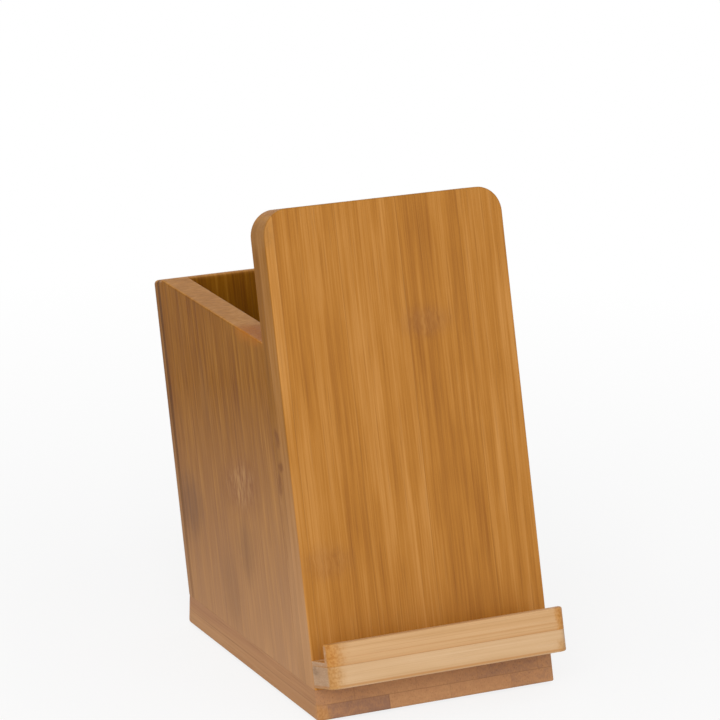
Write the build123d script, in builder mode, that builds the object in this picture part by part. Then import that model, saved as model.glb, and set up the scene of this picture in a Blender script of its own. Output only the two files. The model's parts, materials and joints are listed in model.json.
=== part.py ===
from build123d import *
import math
import os

os.makedirs("parts", exist_ok=True)

# Wireless charging pen holder in laminated bamboo, in millimetres.
# +Z is up, +X is the user's right and +Y points to the back. A base board carries a
# leaning panel with a charging coil behind its face, an open-topped box behind the
# panel, and a two-ply ledge with a slot in front of it.
# The front face of the panel meets the top of the base along the heel line.

# Driving sizes of the boards
width = 80
lean = 17                  # degrees backwards, for the panel, the box and the back wall
base_thick = 9
side_thick = 9
back_thick = 9
panel_thick = 9.5
box_depth = 90             # heel line to the back face of the base
rim_height = 105           # rim of the side walls above the underside of the base
panel_length = 142.2       # heel line to the top edge of the panel, along the lean
panel_corner = 8
back_corner = 4            # rounded upright edges of the back wall
base_corner = 4.5          # and of the base at the back
arris = 0.6                # sanded edges
back_arris = 1.3           # round the top of the back wall
lap_reach = 3.3            # how far the side walls lap over the ends of the back wall
lap_thick = 2

# Ledge, measured along the lean (lift, plies) and out from the panel (reach, slot)
ledge_lift = 0.7           # underside of the ledge above the heel line
ledge_ply = 6.7            # each of its two plies
ledge_reach = 12.2
ledge_corner = 3
slot_reach = 8.7           # panel to lip, the width of the slot
slot_web = 1.4             # what the slot leaves of the upper ply

# Feet
foot_radius = 5
foot_stand = 0.8           # how far the feet hold the base off the table
foot_seat = 1              # depth of the recess that each foot is glued into
foot_seat_gap = 0.2        # round each foot
foot_inset = 8             # from the side faces and the back face to a foot's centre
foot_front = 5.5           # heel line to the centre of the front feet
foot_edge = 0.4            # rounded lower edge

# Dowels, and where they stand
dowel_radius = 2
dowel_short = 5            # the end in the face of a board
dowel_long = 6.5           # the end in the end grain of a board
dowel_chamfer = 0.4
dowel_gap = 0.05           # round each dowel
dowel_end_gap = 0.4        # glue space past each end
panel_dowel_front = 5      # heel line to the dowels under the panel
panel_dowel_shares = (-0.85, -0.4, 0.4, 0.85)   # of half the width
back_dowel_shares = (-0.4, 0.4)                 # of half the width
back_dowel_inset = 4       # from the back face
side_dowel_shares = (0.25, 0.8)                 # of the side wall's depth
wall_dowel_shares = (0.28, 0.76)                # of the wall's height along the lean
ledge_dowel_shares = (-0.6, 0.6)                # of half the width

# Pocket in the back of the panel, its cover and what it holds, by depth behind the face
front_web = 2.5            # wood left between the face and the coil
coil_up = 76               # heel line to the middle of the coil, along the lean
pocket_margin = 3.1        # between the pocket and the sides of the cover
pocket_gap = 0.4           # round the carrier
channel_width = 10         # for the two leads, down to the base
cover_thick = 2.4
cover_side_gap = 1         # between the cover and the side walls
cover_end_margin = 6.1     # cover above the pocket
cover_corner = 4
cover_gap = 0.2            # round the cover
coil_gap = 0.15            # between the front web and the coil
coil_seat = 0.05           # between the coil and the ferrite
coil_wire = 0.8            # outside diameter of the coil's wire
coil_inner = 10            # radius of the innermost turn
coil_turn_gap = 0.45       # between one turn and the next
coil_margin = 3.7          # least ferrite beyond the outermost turn
coil_end_radius = 4        # bends at both ends of the winding
ferrite_thick = 1
ferrite_hole = 8
carrier_thick = 1
carrier_rim = 1.2          # wall round the ferrite
carrier_gap = 0.3          # between the ferrite and that wall
pad_margin = 3             # ferrite beyond the foam pad
pad_slot_over = 1          # slot in the foam pad, above the middle of the coil

# Leads from the coil to the driver board
lead_diameter = 1
lead_gap = 0.3             # between the carrier and the inner lead on its way down
lead_loop_height = 3       # above the end of the winding, where the inner lead turns back
lead_loop_radius = 1.5
lead_foot_height = 0.5     # above the base, where both leads turn upright
lead_foot_radius = 4
lead_board_radius = 2.2    # where they turn along the board
lead_board_gap = 0.05      # between a lead and the board
lead_hole_front = 2.4      # heel line to the front of the hole through the base
lead_hole_length = 5.6
lead_hole_corner = 1.5
lead_on_board = 2.5        # length soldered along the board
butt_gap = 0.05            # between the end of the winding and its lead

# Pocket under the base and its cover plate
top_web = 2.2              # wood above the pocket
bay_wall = 2.4             # wood behind the socket
bay_width = 13
bay_length = 8.6
foot_wall = 0.8            # wood between a foot's recess and the plate
pocket_length = 30
pocket_corner = 2
base_channel_front = 1.8   # heel line to the front of the lead channel
plate_thick = 1.5
plate_sink = 0.1           # how much deeper its rebate is
plate_side_margin = 6      # plate beyond the pocket on the left and right
plate_end_margin = 3       # plate beyond the pocket, the channel and the bay
plate_front_margin = 1.2   # plate beyond the front of the channel
plate_corner = 2
plate_gap = 0.2            # round the plate
boss_radius = 2.2
boss_height = 0.9

# Driver board
board_thick = 1
board_gap = 1              # pocket wall to the board
neck_width = 11
neck_gap = 0.6             # bay wall to the end of the neck
board_hole_inset = 3.2
board_hole_gap = 0.15      # round a screw's shank

# Socket for the charging lead
socket_width = 8.94
socket_height = 3.26
socket_length = 7.3
socket_wall = 0.3
socket_recess = 0.5        # mouth behind the back face of the base
socket_block = 2.2         # insulator that closes the shell's inner end
tongue_width = 6.7
tongue_thick = 0.7
tongue_length = 4.4
tongue_gap = 0.05          # between the insulator and the shell
port_gap = 0.3             # round the shell, through the wood
contact_count = 12
contact_width = 0.25
contact_gap = 0.25
contact_thick = 0.05
contact_length = 3.4

# Parts on the driver board: length along X, along Y and height
controller_size = (5, 5, 0.9)
bridge_size = (5, 4, 1)
bridge_count = 2
bridge_gap = 10
capacitor_size = (3.2, 2.5, 2)
capacitor_count = 4
capacitor_gap = 1.4
inductor_size = (4.4, 4.4, 2.2)
inductor_corner = 0.8
resistor_size = (1.6, 0.8, 0.5)
resistor_count = 6
resistor_gap = 0.8
capacitor_row_share = 0.27    # rows of parts, of the board's length from its front
chip_row_share = 0.5
rear_row_share = 0.74
inductor_share = -0.28        # across the board, of its width from the middle
resistor_share = 0.2

# Screws
wood_screw_shank = 2.2
wood_screw_head = 4.4
wood_screw_length = 6
board_screw_shank = 1.6
board_screw_head = 3
board_screw_head_height = 0.9
board_screw_length = 2.4
thread_gap = 0.05             # round a screw's shank and head
pilot_end_gap = 0.3           # past a screw's point
recess_length_share = 0.55    # of the head's diameter
recess_width_share = 0.16
recess_depth_share = 0.14
point_share = 0.9             # length of a screw's point, of its shank diameter
cover_screw_inset = 5         # from the cover's side edges
cover_screw_low = 9           # heel line to the lowest screws, along the lean
cover_screw_share = 0.42      # the middle screws, of the cover's height
plate_screw_inset = 3         # from the plate's side edges
plate_screw_end = 5           # from the ends of the pocket

# Worked out from the driving sizes
lean_sin = math.sin(math.radians(lean))
lean_cos = math.cos(math.radians(lean))
lean_tan = math.tan(math.radians(lean))
half_width = width / 2
base_bottom = foot_stand
base_top = foot_stand + base_thick
rim_top = base_bottom + rim_height
panel_run = panel_thick / lean_cos          # level lengths of the leaning boards
back_run = back_thick / lean_cos
lap_run = lap_reach / lean_cos
inside_depth = box_depth - back_run         # heel line to the inside of the back wall
back_depth = inside_depth * lean_cos        # the same, square to the panel's face
back_foot_up = inside_depth * lean_sin      # and where the base lies there, up the lean
wall_length = (rim_top - base_top) / lean_cos
rim_rise = (rim_top - base_top) * lean_tan  # how far back the lean takes the rim
back_top_up = back_foot_up + wall_length
side_middle = half_width - side_thick / 2
cover_front = panel_thick - cover_thick     # depths behind the panel's face
coil_depth = front_web + coil_gap + coil_wire / 2
ferrite_front = coil_depth + coil_wire / 2 + coil_seat
carrier_front = ferrite_front + ferrite_thick

# The cover fills the width between the side walls, and the pocket and the coil fit behind it
cover_width = width - 2 * (side_thick + cover_side_gap)
pocket_radius = cover_width / 2 - pocket_margin
cover_top = coil_up + pocket_radius + cover_end_margin
carrier_radius = pocket_radius - pocket_gap
ferrite_radius = carrier_radius - carrier_rim - carrier_gap
pad_radius = ferrite_radius - pad_margin
coil_pitch = coil_wire + coil_turn_gap
coil_turns = math.floor((ferrite_radius - coil_margin - coil_inner) / coil_pitch)
coil_outer = coil_inner + coil_turns * coil_pitch
lead_return = carrier_front + carrier_thick + lead_gap + lead_diameter / 2

# The origin lies on the table, midway between the ledge's front and the back wall's top
reach_front = (ledge_reach - arris) * lean_cos + arris - (ledge_lift + arris) * lean_sin
reach_back = (inside_depth + rim_rise
              + (back_thick - back_arris) * lean_cos - back_arris * lean_sin + back_arris)
heel_y = (reach_front - reach_back) / 2
back_y = heel_y + box_depth


# A point of the leaning boards, as (y, z): so far up the lean, so far behind the face
def lean_point(up, behind):
    y = heel_y + up * lean_sin + behind * lean_cos
    z = base_top + up * lean_cos - behind * lean_sin
    return (y, z)


# A plane parallel to the panel's face: X across, Y up the lean, Z towards the user
def lean_plane(behind=0):
    y, z = lean_point(0, behind)
    return Plane(origin=(0, y, z), x_dir=(1, 0, 0), z_dir=(0, -lean_cos, lean_sin))


# The same plane turned round, with Z towards the back
def rear_plane(behind=0):
    y, z = lean_point(0, behind)
    return Plane(origin=(0, y, z), x_dir=(-1, 0, 0), z_dir=(0, lean_cos, -lean_sin))


across_lean = Axis((0, 0, 0), (0, -lean_cos, lean_sin))
along_lean = Axis((0, 0, 0), (0, lean_sin, lean_cos))
left_face = Plane.YZ.offset(-half_width)


def places(plane, spots):
    return [plane.location * Location((x, y, 0)) for x, y in spots]


def save(builder, name):
    builder.part.label = name
    export_step(builder.part, f"parts/{name}.step")


# One dowel and one screw of each kind, with the joint at the origin and the axis on Z
def dowel():
    with BuildPart() as pin:
        with Locations((0, 0, -dowel_short)):
            Cylinder(dowel_radius, dowel_short + dowel_long,
                     align=(Align.CENTER, Align.CENTER, Align.MIN))
        chamfer(pin.edges().filter_by(GeomType.CIRCLE), dowel_chamfer)
    return pin.part


# A screw turned from the outline of its head, from the axis to the shank
def screw(head_outline, shank, length):
    top = head_outline[0][1]
    head = 2 * head_outline[1][0]
    with BuildPart() as body:
        with BuildSketch(Plane.XZ):
            with BuildLine():
                Polyline(*head_outline, (shank / 2, shank * point_share - length),
                         (0, -length), close=True)
            make_face()
        revolve(axis=Axis.Z)
        with BuildSketch(Plane.XY.offset(top)):
            Rectangle(head * recess_length_share, head * recess_width_share)
            Rectangle(head * recess_width_share, head * recess_length_share)
        extrude(amount=-head * recess_depth_share, mode=Mode.SUBTRACT)
    return body.part


def wood_screw():
    cone = (wood_screw_head - wood_screw_shank) / 2
    outline = [(0, 0), (wood_screw_head / 2, 0), (wood_screw_shank / 2, -cone)]
    return screw(outline, wood_screw_shank, wood_screw_length)


def board_screw():
    outline = [(0, board_screw_head_height), (board_screw_head / 2, board_screw_head_height),
               (board_screw_head / 2, 0), (board_screw_shank / 2, 0)]
    return screw(outline, board_screw_shank, board_screw_length)


# Holes for dowels and screws, cut into the part that is being built
def dowel_holes(spots):
    with Locations(*spots):
        Cylinder(dowel_radius + dowel_gap, dowel_long + dowel_end_gap,
                 align=(Align.CENTER, Align.CENTER, Align.MIN), mode=Mode.SUBTRACT)
        Cylinder(dowel_radius + dowel_gap, dowel_short + dowel_end_gap,
                 align=(Align.CENTER, Align.CENTER, Align.MAX), mode=Mode.SUBTRACT)


def pilot_holes(spots, shank, length):
    with Locations(*spots):
        Cylinder(shank / 2 + thread_gap, length + pilot_end_gap,
                 align=(Align.CENTER, Align.CENTER, Align.MAX), mode=Mode.SUBTRACT)


def countersunk_holes(spots, thick):
    cone = (wood_screw_head - wood_screw_shank) / 2
    shank_radius = wood_screw_shank / 2 + thread_gap
    with Locations(*spots):
        Cone(shank_radius, wood_screw_head / 2 + thread_gap, cone,
             align=(Align.CENTER, Align.CENTER, Align.MAX), mode=Mode.SUBTRACT)
        Cylinder(shank_radius, thick,
                 align=(Align.CENTER, Align.CENTER, Align.MAX), mode=Mode.SUBTRACT)


def copies(name, body, spots):
    with BuildPart() as group:
        with Locations(*spots):
            add(body)
    save(group, name)


# Dowel joints: each location lies on the joint with Z into the board with the end grain
panel_base_joints = places(Plane.XY.offset(base_top),
                           [(half_width * share, heel_y + panel_dowel_front)
                            for share in panel_dowel_shares])
side_base_joints = places(Plane.XY.offset(base_top),
                          [(x, heel_y + panel_run + share * (inside_depth - panel_run))
                           for x in (-side_middle, side_middle)
                           for share in side_dowel_shares])
back_base_joints = places(Plane.XY.offset(base_top),
                          [(half_width * share, back_y - back_dowel_inset)
                           for share in back_dowel_shares])
wall_spots = [(x, wall_length * share)
              for x in (-side_middle, side_middle) for share in wall_dowel_shares]
panel_side_joints = places(rear_plane(panel_thick), wall_spots)
back_side_joints = places(lean_plane(back_depth),
                          [(x, back_foot_up + up) for x, up in wall_spots])
ledge_joints = places(lean_plane(),
                      [(half_width * share, ledge_lift + ledge_ply / 2)
                       for share in ledge_dowel_shares])

# Screws: the location lies on the outer face of the cover, with Z out of it
cover_screw_x = cover_width / 2 - cover_screw_inset
cover_screw_ups = (cover_screw_low, cover_top * cover_screw_share,
                   cover_top - cover_screw_inset)
cover_screws = places(rear_plane(panel_thick),
                      [(x, up) for x in (-cover_screw_x, cover_screw_x)
                       for up in cover_screw_ups])
pocket_rear = back_y - bay_wall - bay_length
pocket_middle = pocket_rear - pocket_length / 2
foot_x = half_width - foot_inset
plate_width = 2 * (foot_x - foot_radius - foot_seat_gap - foot_wall)
pocket_width = plate_width - 2 * plate_side_margin
plate_screw_x = plate_width / 2 - plate_screw_inset
plate_screw_y = pocket_length / 2 - plate_screw_end
underside = Plane(origin=(0, pocket_middle, base_bottom), x_dir=(1, 0, 0), z_dir=(0, 0, -1))
plate_screws = places(underside,
                      [(x, y) for x in (-plate_screw_x, plate_screw_x)
                       for y in (-plate_screw_y, plate_screw_y)])

# Levels in the pocket under the base
plate_top = base_bottom + plate_thick
board_bottom = plate_top + boss_height
board_top = board_bottom + board_thick
pocket_top = base_top - top_web
socket_middle = board_top + socket_height / 2

# The driver board, and where its screws stand
board_width = pocket_width - 2 * board_gap
board_length = pocket_length - 2 * board_gap
board_front = pocket_middle - board_length / 2
neck_end = back_y - bay_wall - neck_gap
board_screw_spots = [(x, pocket_middle + y)
                     for x in (board_hole_inset - board_width / 2,
                               board_width / 2 - board_hole_inset)
                     for y in (board_hole_inset - board_length / 2,
                               board_length / 2 - board_hole_inset)]
board_screws = places(Plane.XY.offset(board_top), board_screw_spots)
foot_spots = [(x, y) for x in (-foot_x, foot_x)
              for y in (heel_y + foot_front, back_y - foot_inset)]


# Outline of the rebate for the cover plate: the pocket, the channel and the bay with margins
def plate_rebate():
    front = heel_y + base_channel_front - plate_front_margin
    rear = back_y - bay_wall
    main_front = pocket_middle - pocket_length / 2 - plate_end_margin
    main_rear = pocket_rear + plate_end_margin
    with BuildSketch() as outline:
        with Locations((0, (main_front + main_rear) / 2)):
            Rectangle(plate_width, main_rear - main_front)
        with Locations((0, (front + pocket_middle) / 2)):
            Rectangle(channel_width + 2 * plate_end_margin, pocket_middle - front)
        with Locations((0, (pocket_middle + rear) / 2)):
            Rectangle(bay_width + 2 * plate_end_margin, rear - pocket_middle)
        fillet(outline.vertices(), plate_corner)
    return outline.sketch


# Boards

with BuildPart() as base_board:
    with BuildSketch(left_face):
        with BuildLine():
            Polyline((heel_y, base_top), (heel_y - base_thick * lean_tan, base_bottom),
                     (back_y, base_bottom), (back_y, base_top), close=True)
        make_face()
    extrude(amount=width)
    fillet(base_board.edges().filter_by(Axis.Z), base_corner)
    fillet(base_board.faces().sort_by(Axis.Z)[0].edges(), arris)
    with BuildSketch(Plane.XY.offset(base_bottom)):
        add(plate_rebate())
    extrude(amount=plate_thick + plate_sink, mode=Mode.SUBTRACT)
    with BuildSketch(Plane.XY.offset(base_bottom)):
        with Locations((0, pocket_middle)):
            RectangleRounded(pocket_width, pocket_length, pocket_corner)
        with Locations((0, (pocket_middle + back_y - bay_wall) / 2)):
            Rectangle(bay_width, back_y - bay_wall - pocket_middle)
        with Locations((0, (heel_y + base_channel_front + pocket_middle) / 2)):
            Rectangle(channel_width, pocket_middle - heel_y - base_channel_front)
    extrude(amount=pocket_top - base_bottom, mode=Mode.SUBTRACT)
    with BuildSketch(Plane.XY.offset(base_bottom)):
        with Locations((0, heel_y + lead_hole_front + lead_hole_length / 2)):
            RectangleRounded(channel_width, lead_hole_length, lead_hole_corner)
    extrude(amount=base_thick, mode=Mode.SUBTRACT)
    with BuildSketch(Plane.XZ.offset(-back_y)):
        with Locations((0, socket_middle)):
            SlotOverall(socket_width + 2 * port_gap, socket_height + 2 * port_gap)
    extrude(amount=bay_wall, mode=Mode.SUBTRACT)
    with BuildSketch(Plane.XY.offset(base_bottom)):
        with Locations(*foot_spots):
            Circle(foot_radius + foot_seat_gap)
    extrude(amount=foot_seat, mode=Mode.SUBTRACT)
    pilot_holes(plate_screws, wood_screw_shank, wood_screw_length)
    dowel_holes(panel_base_joints + side_base_joints + back_base_joints)
save(base_board, "base_board")

with BuildPart() as front_panel:
    with BuildSketch(left_face):
        with BuildLine():
            Polyline((heel_y, base_top), lean_point(panel_length, 0),
                     lean_point(panel_length, panel_thick), (heel_y + panel_run, base_top),
                     close=True)
        make_face()
    extrude(amount=width)
    fillet(front_panel.edges().filter_by(across_lean).group_by(Axis.Z)[-1], panel_corner)
    fillet(front_panel.faces().sort_by(across_lean)[-1].edges().sort_by(Axis.Z)[1:], arris)
    with BuildSketch(rear_plane(panel_thick)) as rebate:
        Rectangle(cover_width, cover_top + cover_gap, align=(Align.CENTER, Align.MIN))
        fillet(rebate.vertices().group_by(Axis.Y)[-1], cover_corner)
    extrude(amount=-cover_thick, mode=Mode.SUBTRACT)
    with BuildSketch(rear_plane(panel_thick)):
        with Locations((0, coil_up)):
            Circle(pocket_radius)
        with Locations((0, coil_up / 2)):
            Rectangle(channel_width, coil_up)
    extrude(amount=front_web - panel_thick, mode=Mode.SUBTRACT)
    pilot_holes(cover_screws, wood_screw_shank, wood_screw_length)
    dowel_holes(panel_base_joints + panel_side_joints + ledge_joints)
save(front_panel, "front_panel")

# The rounded blank of the back wall, before its ends are rebated for the side walls
with BuildPart() as back_blank:
    with BuildSketch(left_face):
        with BuildLine():
            Polyline((back_y - back_run, base_top), (back_y, base_top),
                     lean_point(back_top_up, back_depth + back_thick),
                     lean_point(back_top_up, back_depth), close=True)
        make_face()
    extrude(amount=width)
    fillet(back_blank.edges().filter_by(along_lean).group_by(across_lean)[0], back_corner)
    fillet(back_blank.faces().sort_by(along_lean)[-1].edges(), back_arris)

laps = []
for name, outer_x in (("left_side_wall", -half_width), ("right_side_wall", half_width)):
    inner_x = outer_x - math.copysign(side_thick, outer_x)
    lap_x = outer_x - math.copysign(lap_thick, outer_x)
    with BuildPart() as lap:
        with BuildSketch(Plane.YZ.offset(min(outer_x, lap_x))):
            with BuildLine():
                Polyline((back_y - back_run, base_top), (back_y - back_run + lap_run, base_top),
                         lean_point(back_top_up, back_depth + lap_reach),
                         lean_point(back_top_up, back_depth), close=True)
            make_face()
        extrude(amount=lap_thick)
        add(back_blank.part, mode=Mode.INTERSECT)
    laps.append(lap.part)
    with BuildPart() as side_wall:
        with BuildSketch(Plane.YZ.offset(min(outer_x, inner_x))):
            with BuildLine():
                Polyline((heel_y + panel_run, base_top), (back_y - back_run, base_top),
                         (back_y - back_run + rim_rise, rim_top),
                         (heel_y + panel_run + rim_rise, rim_top), close=True)
            make_face()
        extrude(amount=side_thick)
        fillet(side_wall.edges().filter_by(Axis.Y).group_by(Axis.Z)[-1], arris)
        add(lap.part)
        dowel_holes(side_base_joints + panel_side_joints + back_side_joints)
    save(side_wall, name)

with BuildPart() as back_wall:
    add(back_blank.part)
    add(laps, mode=Mode.SUBTRACT)
    dowel_holes(back_base_joints + back_side_joints)
save(back_wall, "back_wall")

# Ledge: two plies glued together, rounded at the front corners

with BuildPart() as ledge_shelf:
    with BuildSketch(lean_plane()):
        with Locations((0, ledge_lift + ledge_ply / 2)):
            Rectangle(width, ledge_ply)
    extrude(amount=ledge_reach)
    fillet(ledge_shelf.edges().filter_by(along_lean).group_by(across_lean)[-1], ledge_corner)
    fillet(ledge_shelf.faces().sort_by(along_lean)[0].edges().group_by(across_lean)[1:], arris)
    dowel_holes(ledge_joints)
save(ledge_shelf, "ledge_shelf")

with BuildPart() as ledge_lip:
    with BuildSketch(lean_plane()):
        with Locations((0, ledge_lift + ledge_ply * 3 / 2)):
            Rectangle(width, ledge_ply)
    extrude(amount=ledge_reach)
    fillet(ledge_lip.edges().filter_by(along_lean).group_by(across_lean)[-1], ledge_corner)
    with BuildSketch(lean_plane()):
        with Locations((0, ledge_lift + ledge_ply + slot_web + ledge_ply / 2)):
            Rectangle(width, ledge_ply)
    extrude(amount=slot_reach, mode=Mode.SUBTRACT)
    fillet(ledge_lip.faces().sort_by(along_lean)[-1].edges().group_by(across_lean)[1:], arris)
save(ledge_lip, "ledge_lip")

# Coil, from the front of the pocket to its cover

coil_plane = lean_plane(coil_depth)
with BuildPart() as charging_coil:
    with BuildLine(coil_plane) as winding:
        CenterArc((0, coil_up - coil_inner + coil_end_radius), coil_end_radius, 180, 90)
        for half in range(2 * coil_turns):
            radius = coil_inner + half * coil_pitch / 2
            if half % 2:
                CenterArc((0, coil_up - coil_pitch / 2), radius, 90, 180)
            else:
                CenterArc((0, coil_up), radius, -90, 180)
        CenterArc((0, coil_up - coil_outer - coil_end_radius), coil_end_radius, 90, -90)
    turns = winding.wires()[0]
    with BuildSketch(Plane(origin=turns @ 0, z_dir=turns % 0)):
        Circle(coil_wire / 2)
    sweep(path=turns)
save(charging_coil, "charging_coil")

# Least gap between the turns, from points along the winding
point_count = int(turns.length / coil_wire)
points = [turns @ (number / point_count) for number in range(point_count + 1)]
near = 2 * math.ceil(coil_pitch / coil_wire)
gap = min((points[first] - points[second]).length
          for first in range(point_count) for second in range(first + near, point_count + 1))
print(f"coil: least gap between turns {gap - coil_wire:.2f} mm")

with BuildPart() as ferrite_disc:
    with BuildSketch(lean_plane(ferrite_front)):
        with Locations((0, coil_up)):
            Circle(ferrite_radius)
            Circle(ferrite_hole, mode=Mode.SUBTRACT)
    extrude(amount=-ferrite_thick)
save(ferrite_disc, "ferrite_disc")

with BuildPart() as coil_carrier:
    with BuildSketch(lean_plane(carrier_front)):
        with Locations((0, coil_up)):
            Circle(carrier_radius)
            Circle(ferrite_hole, mode=Mode.SUBTRACT)
    extrude(amount=-carrier_thick)
    with BuildSketch(lean_plane(carrier_front)):
        with Locations((0, coil_up)):
            Circle(carrier_radius)
            Circle(ferrite_radius + carrier_gap, mode=Mode.SUBTRACT)
        with Locations((0, coil_up - carrier_radius / 2)):
            Rectangle(channel_width, carrier_radius, mode=Mode.SUBTRACT)
    extrude(amount=carrier_front - front_web - coil_gap)
save(coil_carrier, "coil_carrier")

with BuildPart() as foam_pad:
    with BuildSketch(lean_plane(carrier_front + carrier_thick)):
        with Locations((0, coil_up)):
            Circle(pad_radius)
        with Locations((0, coil_up + pad_slot_over - pad_radius / 2)):
            Rectangle(channel_width, pad_radius + 2 * pad_slot_over, mode=Mode.SUBTRACT)
    extrude(amount=carrier_front + carrier_thick - cover_front)
save(foam_pad, "foam_pad")

with BuildPart() as coil_cover:
    with BuildSketch(left_face.offset(half_width - cover_width / 2 + cover_gap)):
        with BuildLine():
            Polyline((heel_y + cover_front / lean_cos, base_top),
                     lean_point(cover_top, cover_front), lean_point(cover_top, panel_thick),
                     (heel_y + panel_run, base_top), close=True)
        make_face()
    extrude(amount=cover_width - 2 * cover_gap)
    fillet(coil_cover.edges().filter_by(across_lean).group_by(Axis.Z)[-1], cover_corner)
    countersunk_holes(cover_screws, cover_thick)
save(coil_cover, "coil_cover")

copies("coil_cover_screws", wood_screw(), cover_screws)

# Leads: down the panel, through the base and along the board

outer_end = coil_up - coil_outer - coil_end_radius
inner_end = coil_up - coil_inner + coil_end_radius
board_run = board_top + lead_board_gap + lead_diameter / 2


def lead_foot_points(depth):
    foot = lean_point(lead_foot_height / lean_cos + depth * lean_tan, depth)
    return [foot, (foot[0], board_run), (board_front + lead_on_board, board_run)]


outer_route = [lean_point(outer_end - butt_gap, coil_depth)] + lead_foot_points(coil_depth)
inner_route = [lean_point(inner_end + butt_gap, coil_depth),
               lean_point(inner_end + lead_loop_height, coil_depth),
               lean_point(inner_end + lead_loop_height, lead_return)] + lead_foot_points(lead_return)
outer_radii = [lead_foot_radius, lead_board_radius]
inner_radii = [lead_loop_radius, lead_loop_radius] + outer_radii

with BuildPart() as coil_leads:
    for x, route, radii in ((coil_end_radius, outer_route, outer_radii),
                            (-coil_end_radius, inner_route, inner_radii)):
        with BuildLine(Plane.YZ.offset(x)) as path:
            FilletPolyline(*route, radius=radii)
        lead = path.wires()[0]
        with BuildSketch(Plane(origin=lead @ 0, z_dir=lead % 0)):
            Circle(lead_diameter / 2)
        sweep(path=lead)
        print(f"lead: {lead.length:.1f} mm long, bends of radius {radii}")
save(coil_leads, "coil_leads")

# Cover plate and driver board in the base

with BuildPart() as base_cover:
    with BuildSketch(Plane.XY.offset(base_bottom)):
        add(plate_rebate())
        offset(amount=-plate_gap)
    extrude(amount=plate_thick)
    with BuildSketch(Plane.XY.offset(plate_top)):
        with Locations(*board_screw_spots):
            Circle(boss_radius)
    extrude(amount=boss_height)
    countersunk_holes(plate_screws, plate_thick)
    pilot_holes(board_screws, board_screw_shank, board_screw_length)
save(base_cover, "base_cover")

copies("base_cover_screws", wood_screw(), plate_screws)

with BuildPart() as driver_board:
    with BuildSketch(Plane.XY.offset(board_bottom)):
        with Locations((0, pocket_middle)):
            Rectangle(board_width, board_length)
        with Locations((0, (pocket_middle + neck_end) / 2)):
            Rectangle(neck_width, neck_end - pocket_middle)
        with Locations(*board_screw_spots):
            Circle(board_screw_shank / 2 + board_hole_gap, mode=Mode.SUBTRACT)
    extrude(amount=board_thick)
save(driver_board, "driver_board")

copies("board_screws", board_screw(), board_screws)

# Charging socket, its mouth a little behind the back face

mouth = Plane.XZ.offset(socket_recess - back_y)
with BuildPart() as socket_shell:
    with BuildSketch(mouth):
        with Locations((0, socket_middle)):
            SlotOverall(socket_width, socket_height)
            SlotOverall(socket_width - 2 * socket_wall, socket_height - 2 * socket_wall,
                        mode=Mode.SUBTRACT)
    extrude(amount=socket_length)
save(socket_shell, "socket_shell")

with BuildPart() as socket_insulator:
    inset = socket_wall + tongue_gap
    with BuildSketch(mouth.offset(socket_length)):
        with Locations((0, socket_middle)):
            SlotOverall(socket_width - 2 * inset, socket_height - 2 * inset)
    extrude(amount=-socket_block)
    with BuildSketch(mouth.offset(socket_length - socket_block)):
        with Locations((0, socket_middle)):
            Rectangle(tongue_width, tongue_thick)
    extrude(amount=-tongue_length)
save(socket_insulator, "socket_insulator")

with BuildPart() as socket_contacts:
    with BuildSketch(mouth.offset(socket_length - socket_block)):
        for side in (-1, 1):
            with Locations((0, socket_middle + side * (tongue_thick + contact_thick) / 2)):
                with GridLocations(contact_width + contact_gap, 0, contact_count, 1):
                    Rectangle(contact_width, contact_thick)
    extrude(amount=-contact_length)
save(socket_contacts, "socket_contacts")


# A row of flat parts on the driver board, by its share of the board's length and width
def board_parts(name, size, row_share, count=1, gap=0, across_share=0, corner=0):
    length, depth, height = size
    middle = (board_width * across_share, board_front + board_length * row_share)
    with BuildPart() as group:
        with BuildSketch(Plane.XY.offset(board_top)):
            with Locations(middle):
                with GridLocations(length + gap, 0, count, 1):
                    if corner:
                        RectangleRounded(length, depth, corner)
                    else:
                        Rectangle(length, depth)
        extrude(amount=height)
    save(group, name)


board_parts("controller_chip", controller_size, chip_row_share)
board_parts("bridge_chips", bridge_size, chip_row_share, bridge_count, bridge_gap)
board_parts("resonant_capacitors", capacitor_size, capacitor_row_share, capacitor_count,
            capacitor_gap)
board_parts("power_inductor", inductor_size, rear_row_share, across_share=inductor_share,
            corner=inductor_corner)
board_parts("resistors", resistor_size, rear_row_share, resistor_count, resistor_gap,
            resistor_share)

# Dowels and feet

copies("panel_base_dowels", dowel(), panel_base_joints)
copies("side_base_dowels", dowel(), side_base_joints)
copies("back_base_dowels", dowel(), back_base_joints)
copies("panel_side_dowels", dowel(), panel_side_joints)
copies("back_side_dowels", dowel(), back_side_joints)
copies("ledge_dowels", dowel(), ledge_joints)

with BuildPart() as feet:
    with BuildSketch(Plane.XY):
        with Locations(*foot_spots):
            Circle(foot_radius)
    extrude(amount=foot_stand + foot_seat)
    fillet(feet.edges().group_by(Axis.Z)[0], foot_edge)
save(feet, "feet")
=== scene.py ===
import json
import math

import bmesh
import bpy
from mathutils import Matrix, Vector


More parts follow.
